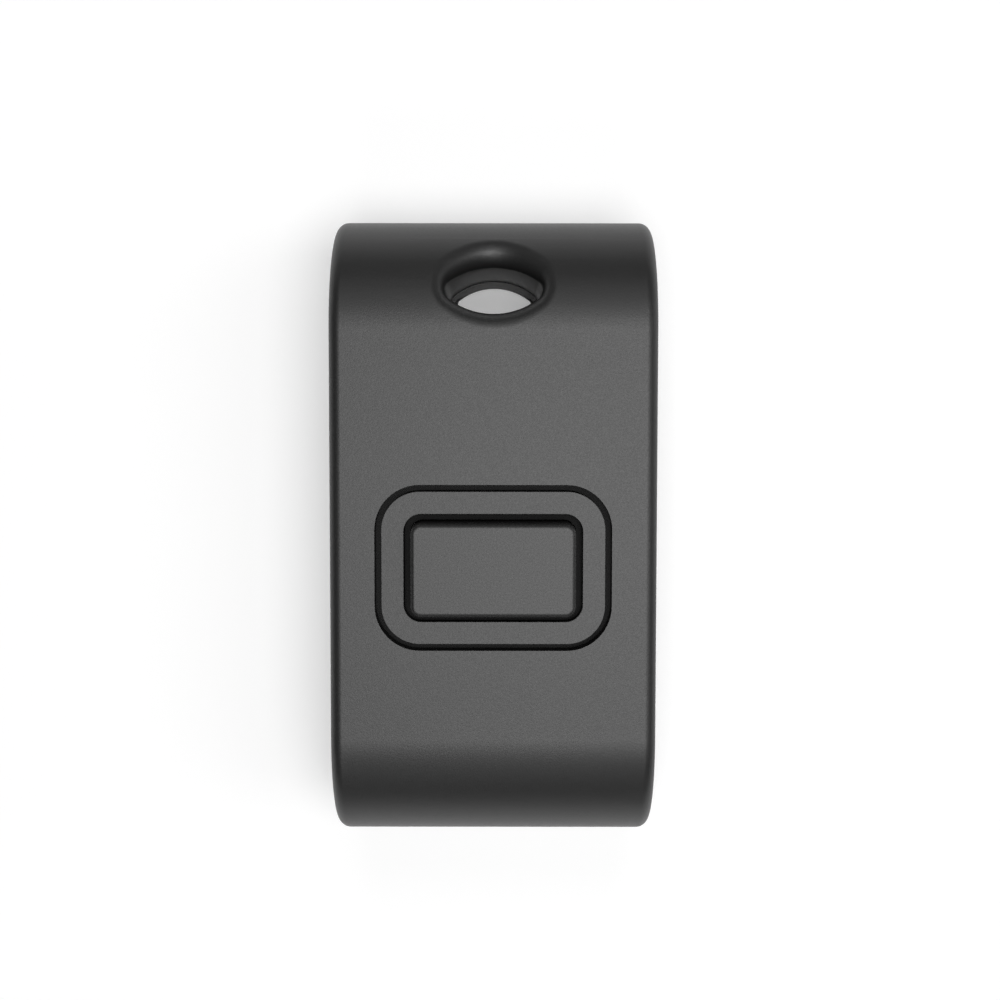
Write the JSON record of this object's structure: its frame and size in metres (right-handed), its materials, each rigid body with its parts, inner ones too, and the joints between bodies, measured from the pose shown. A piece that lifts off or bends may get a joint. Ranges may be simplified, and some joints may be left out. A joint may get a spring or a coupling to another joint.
{
  "type": "key fob transmitter",
  "caption": "Round-ended plastic key fob transmitter with one raised push button in a grooved ring and a lens-shaped lanyard hole",
  "frame": {"origin": "the middle of the flat back that the fob lies on", "axes": "+Z out of the front face through the button, +Y along the fob to the lanyard hole, +X across its width"},
  "size_m": [0.032, 0.063, 0.0256],
  "materials": {
    "case_plastic": "fine matte moulded texture",
    "bezel_plastic": "fine matte moulded texture",
    "button_plastic": "fine matte moulded texture",
    "seal_rubber": "smooth",
    "switch_plastic": "moulded",
    "sheet_steel": "rolled sheet",
    "board_laminate": "solder resist",
    "chip_resin": "moulded resin",
    "capacitor_ceramic": "fired ceramic",
    "tinned_brass": "tinned strip",
    "cell_jacket": "plain printed jacket",
    "screw_steel": "zinc plated"
  },
  "bodies": {
    "case": {"front_cover": "case_plastic", "rear_cover": "case_plastic", "case_seal": "seal_rubber", "button_bezel": "bezel_plastic", "bezel_seal": "seal_rubber", "switch_housing": "switch_plastic", "switch_frame": "sheet_steel", "switch_dome": "sheet_steel", "switch_terminal_1": "tinned_brass", "switch_terminal_2": "tinned_brass", "switch_terminal_3": "tinned_brass", "switch_terminal_4": "tinned_brass", "circuit_board": "board_laminate", "radio_chip": "chip_resin", "control_chip": "chip_resin", "crystal_can": "sheet_steel", "capacitor_1": "capacitor_ceramic", "capacitor_2": "capacitor_ceramic", "capacitor_3": "capacitor_ceramic", "capacitor_4": "capacitor_ceramic", "loop_antenna": "tinned_brass", "battery_cell": "cell_jacket", "positive_contact": "sheet_steel", "negative_contact": "sheet_steel", "case_screw_1": "screw_steel", "case_screw_2": "screw_steel", "case_screw_3": "screw_steel", "case_screw_4": "screw_steel", "board_screw_1": "screw_steel", "board_screw_2": "screw_steel"},
    "button": {"button_cap": "button_plastic"},
    "plunger": {"switch_plunger": "switch_plastic"}
  },
  "joints": [
    {"name": "button_press", "type": "slide", "parent": "case", "child": "button", "axis": [0, 0, -1], "range_m": [0, 0.0005], "stiffness_N_per_m": 2000, "springref_m": -0.0002},
    {"name": "plunger_press", "type": "slide", "parent": "case", "child": "plunger", "axis": [0, 0, -1], "range_m": [0, 0.00025]}
  ],
  "couplings": [
    {"joint": "plunger_press", "follows": "button_press", "ratio": 0.5}
  ]
}
